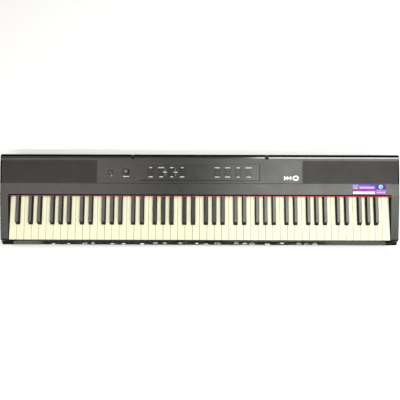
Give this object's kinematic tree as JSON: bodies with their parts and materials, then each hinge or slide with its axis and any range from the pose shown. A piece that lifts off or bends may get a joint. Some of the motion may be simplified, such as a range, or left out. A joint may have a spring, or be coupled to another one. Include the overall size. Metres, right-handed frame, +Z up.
{
  "type": "digital piano",
  "caption": "Slab digital piano with a full-length keyboard of sprung keys, long speaker grilles at both ends, a central control panel, a volume knob and sockets for a music rest",
  "frame": {"origin": "on the resting surface, under the middle of the case", "axes": "+X to the player's right along the keyboard, +Y towards the back, +Z up"},
  "size_m": [1.276, 0.289, 0.097],
  "materials": {
    "case": "fine-textured charcoal moulding",
    "rail": "smooth dark moulding with a soft shine",
    "corner_cap": "soft black moulding",
    "chassis": "plain grey moulding, hidden under the keys",
    "steel": "ground steel",
    "spring_steel": "rolled spring strip",
    "grey_felt": "pressed wool felt",
    "red_felt": "pressed wool felt",
    "circuit_board": "green solder mask",
    "grey_rubber": "soft moulded silicone",
    "grille": "dark slotted moulding",
    "basket": "black painted pressing",
    "cone_paper": "pressed paper",
    "panel": "satin facing",
    "button": "satin caps",
    "knob": "polished black",
    "socket": "black moulded bodies",
    "contact_plate": "nickel plated",
    "screw": "black oxide",
    "rubber": "moulded rubber",
    "badge": "white",
    "sticker": "printed gloss label",
    "white_key": "polished ivory-white moulding",
    "black_key": "satin black moulding"
  },
  "bodies": {
    "case": {"badge": "badge", "battery_contacts": "contact_plate", "bottom_case": "case", "case_screws": "screw", "contact_boards": "circuit_board", "control_panel": "panel", "end_cheeks": "case", "front_corner_caps": "corner_cap", "front_rail": "rail", "jack_sockets": "socket", "key_chassis": "chassis", "key_pivot_rod": "steel", "key_springs": "spring_steel", "key_stop_felts": "grey_felt", "left_speaker_grille": "grille", "main_board": "circuit_board", "music_rest_sockets": "socket", "panel_board": "circuit_board", "rear_panel": "case", "red_felt_strip": "red_felt", "right_speaker_grille": "grille", "rubber_contact_strips": "grey_rubber", "rubber_feet": "rubber", "screw_posts": "chassis", "speaker_baskets": "basket", "speaker_cones": "cone_paper", "sticker": "sticker", "top_case": "case", "volume_potentiometer": "steel"},
    "left_rear_buttons": {"left_rear_buttons": "button"},
    "left_front_buttons": {"left_front_buttons": "button"},
    "right_rear_buttons": {"right_rear_buttons": "button"},
    "right_front_buttons": {"right_front_buttons": "button"},
    "power_button": {"power_button": "button"},
    "volume_knob": {"volume_knob": "knob"},
    "battery_door": {"battery_door": "case"},
    "keys_a": {"keys_a": "white_key"},
    "keys_a_sharp": {"keys_a_sharp": "black_key"},
    "keys_b": {"keys_b": "white_key"},
    "keys_c": {"keys_c": "white_key"},
    "keys_c_sharp": {"keys_c_sharp": "black_key"},
    "keys_d": {"keys_d": "white_key"},
    "keys_d_sharp": {"keys_d_sharp": "black_key"},
    "keys_e": {"keys_e": "white_key"},
    "keys_f": {"keys_f": "white_key"},
    "keys_f_sharp": {"keys_f_sharp": "black_key"},
    "keys_g": {"keys_g": "white_key"},
    "keys_g_sharp": {"keys_g_sharp": "black_key"},
    "key_c4": {"key_c4": "white_key"},
    "key_c_sharp4": {"key_c_sharp4": "black_key"},
    "key_d4": {"key_d4": "white_key"},
    "key_d_sharp4": {"key_d_sharp4": "black_key"},
    "key_e4": {"key_e4": "white_key"},
    "key_f4": {"key_f4": "white_key"},
    "key_f_sharp4": {"key_f_sharp4": "black_key"},
    "key_g4": {"key_g4": "white_key"},
    "key_g_sharp4": {"key_g_sharp4": "black_key"},
    "key_a4": {"key_a4": "white_key"},
    "key_a_sharp4": {"key_a_sharp4": "black_key"},
    "key_b4": {"key_b4": "white_key"}
  },
  "joints": [
    {"name": "keys_a_press", "type": "hinge", "parent": "case", "child": "keys_a", "pos_m": [0, 0.0865, 0.048], "axis": [1, 0, 0], "range_deg": [0, 2.67], "stiffness_Nm_per_rad": 6.3, "springref_deg": -9.17},
    {"name": "keys_a_sharp_press", "type": "hinge", "parent": "case", "child": "keys_a_sharp", "pos_m": [0, 0.0865, 0.048], "axis": [1, 0, 0], "range_deg": [0, 2.67], "stiffness_Nm_per_rad": 6.3, "springref_deg": -9.17},
    {"name": "keys_b_press", "type": "hinge", "parent": "case", "child": "keys_b", "pos_m": [0, 0.0865, 0.048], "axis": [1, 0, 0], "range_deg": [0, 2.67], "stiffness_Nm_per_rad": 6.3, "springref_deg": -9.17},
    {"name": "keys_c_press", "type": "hinge", "parent": "case", "child": "keys_c", "pos_m": [0, 0.0865, 0.048], "axis": [1, 0, 0], "range_deg": [0, 2.67], "stiffness_Nm_per_rad": 6.3, "springref_deg": -9.17},
    {"name": "keys_c_sharp_press", "type": "hinge", "parent": "case", "child": "keys_c_sharp", "pos_m": [0, 0.0865, 0.048], "axis": [1, 0, 0], "range_deg": [0, 2.67], "stiffness_Nm_per_rad": 5.4, "springref_deg": -9.17},
    {"name": "keys_d_press", "type": "hinge", "parent": "case", "child": "keys_d", "pos_m": [0, 0.0865, 0.048], "axis": [1, 0, 0], "range_deg": [0, 2.67], "stiffness_Nm_per_rad": 5.4, "springref_deg": -9.17},
    {"name": "keys_d_sharp_press", "type": "hinge", "parent": "case", "child": "keys_d_sharp", "pos_m": [0, 0.0865, 0.048], "axis": [1, 0, 0], "range_deg": [0, 2.67], "stiffness_Nm_per_rad": 5.4, "springref_deg": -9.17},
    {"name": "keys_e_press", "type": "hinge", "parent": "case", "child": "keys_e", "pos_m": [0, 0.0865, 0.048], "axis": [1, 0, 0], "range_deg": [0, 2.67], "stiffness_Nm_per_rad": 5.4, "springref_deg": -9.17},
    {"name": "keys_f_press", "type": "hinge", "parent": "case", "child": "keys_f", "pos_m": [0, 0.0865, 0.048], "axis": [1, 0, 0], "range_deg": [0, 2.67], "stiffness_Nm_per_rad": 5.4, "springref_deg": -9.17},
    {"name": "keys_f_sharp_press", "type": "hinge", "parent": "case", "child": "keys_f_sharp", "pos_m": [0, 0.0865, 0.048], "axis": [1, 0, 0], "range_deg": [0, 2.67], "stiffness_Nm_per_rad": 5.4, "springref_deg": -9.17},
    {"name": "keys_g_press", "type": "hinge", "parent": "case", "child": "keys_g", "pos_m": [0, 0.0865, 0.048], "axis": [1, 0, 0], "range_deg": [0, 2.67], "stiffness_Nm_per_rad": 5.4, "springref_deg": -9.17},
    {"name": "keys_g_sharp_press", "type": "hinge", "parent": "case", "child": "keys_g_sharp", "pos_m": [0, 0.0865, 0.048], "axis": [1, 0, 0], "range_deg": [0, 2.67], "stiffness_Nm_per_rad": 5.4, "springref_deg": -9.17},
    {"name": "key_c4_press", "type": "hinge", "parent": "case", "child": "key_c4", "pos_m": [0, 0.0865, 0.048], "axis": [1, 0, 0], "range_deg": [0, 2.67], "stiffness_Nm_per_rad": 0.9, "springref_deg": -9.17},
    {"name": "key_c_sharp4_press", "type": "hinge", "parent": "case", "child": "key_c_sharp4", "pos_m": [0, 0.0865, 0.048], "axis": [1, 0, 0], "range_deg": [0, 2.67], "stiffness_Nm_per_rad": 0.9, "springref_deg": -9.17},
    {"name": "key_d4_press", "type": "hinge", "parent": "case", "child": "key_d4", "pos_m": [0, 0.0865, 0.048], "axis": [1, 0, 0], "range_deg": [0, 2.67], "stiffness_Nm_per_rad": 0.9, "springref_deg": -9.17},
    {"name": "key_d_sharp4_press", "type": "hinge", "parent": "case", "child": "key_d_sharp4", "pos_m": [0, 0.0865, 0.048], "axis": [1, 0, 0], "range_deg": [0, 2.67], "stiffness_Nm_per_rad": 0.9, "springref_deg": -9.17},
    {"name": "key_e4_press", "type": "hinge", "parent": "case", "child": "key_e4", "pos_m": [0, 0.0865, 0.048], "axis": [1, 0, 0], "range_deg": [0, 2.67], "stiffness_Nm_per_rad": 0.9, "springref_deg": -9.17},
    {"name": "key_f4_press", "type": "hinge", "parent": "case", "child": "key_f4", "pos_m": [0, 0.0865, 0.048], "axis": [1, 0, 0], "range_deg": [0, 2.67], "stiffness_Nm_per_rad": 0.9, "springref_deg": -9.17},
    {"name": "key_f_sharp4_press", "type": "hinge", "parent": "case", "child": "key_f_sharp4", "pos_m": [0, 0.0865, 0.048], "axis": [1, 0, 0], "range_deg": [0, 2.67], "stiffness_Nm_per_rad": 0.9, "springref_deg": -9.17},
    {"name": "key_g4_press", "type": "hinge", "parent": "case", "child": "key_g4", "pos_m": [0, 0.0865, 0.048], "axis": [1, 0, 0], "range_deg": [0, 2.67], "stiffness_Nm_per_rad": 0.9, "springref_deg": -9.17},
    {"name": "key_g_sharp4_press", "type": "hinge", "parent": "case", "child": "key_g_sharp4", "pos_m": [0, 0.0865, 0.048], "axis": [1, 0, 0], "range_deg": [0, 2.67], "stiffness_Nm_per_rad": 0.9, "springref_deg": -9.17},
    {"name": "key_a4_press", "type": "hinge", "parent": "case", "child": "key_a4", "pos_m": [0, 0.0865, 0.048], "axis": [1, 0, 0], "range_deg": [0, 2.67], "stiffness_Nm_per_rad": 0.9, "springref_deg": -9.17},
    {"name": "key_a_sharp4_press", "type": "hinge", "parent": "case", "child": "key_a_sharp4", "pos_m": [0, 0.0865, 0.048], "axis": [1, 0, 0], "range_deg": [0, 2.67], "stiffness_Nm_per_rad": 0.9, "springref_deg": -9.17},
    {"name": "key_b4_press", "type": "hinge", "parent": "case", "child": "key_b4", "pos_m": [0, 0.0865, 0.048], "axis": [1, 0, 0], "range_deg": [0, 2.67], "stiffness_Nm_per_rad": 0.9, "springref_deg": -9.17},
    {"name": "left_rear_buttons_press", "type": "slide", "parent": "case", "child": "left_rear_buttons", "axis": [0, -0.0649, 0.9979], "range_m": [-0.001, 0], "stiffness_N_per_m": 900, "springref_m": 0.0008},
    {"name": "left_front_buttons_press", "type": "slide", "parent": "case", "child": "left_front_buttons", "axis": [0, -0.0649, 0.9979], "range_m": [-0.001, 0], "stiffness_N_per_m": 900, "springref_m": 0.0008},
    {"name": "right_rear_buttons_press", "type": "slide", "parent": "case", "child": "right_rear_buttons", "axis": [0, -0.0649, 0.9979], "range_m": [-0.001, 0], "stiffness_N_per_m": 900, "springref_m": 0.0008},
    {"name": "right_front_buttons_press", "type": "slide", "parent": "case", "child": "right_front_buttons", "axis": [0, -0.0649, 0.9979], "range_m": [-0.001, 0], "stiffness_N_per_m": 900, "springref_m": 0.0008},
    {"name": "power_button_press", "type": "slide", "parent": "case", "child": "power_button", "axis": [0, -0.0649, 0.9979], "range_m": [-0.0015, 0], "stiffness_N_per_m": 600, "springref_m": 0.0008},
    {"name": "volume_knob_turn", "type": "hinge", "parent": "case", "child": "volume_knob", "pos_m": [-0.236, 0.08774, 0.08483], "axis": [0, -0.0649, 0.9979], "range_deg": [-140, 140]},
    {"name": "battery_door_slide", "type": "slide", "parent": "case", "child": "battery_door", "axis": [0, 1, 0], "range_m": [0, 0.044]}
  ]
}
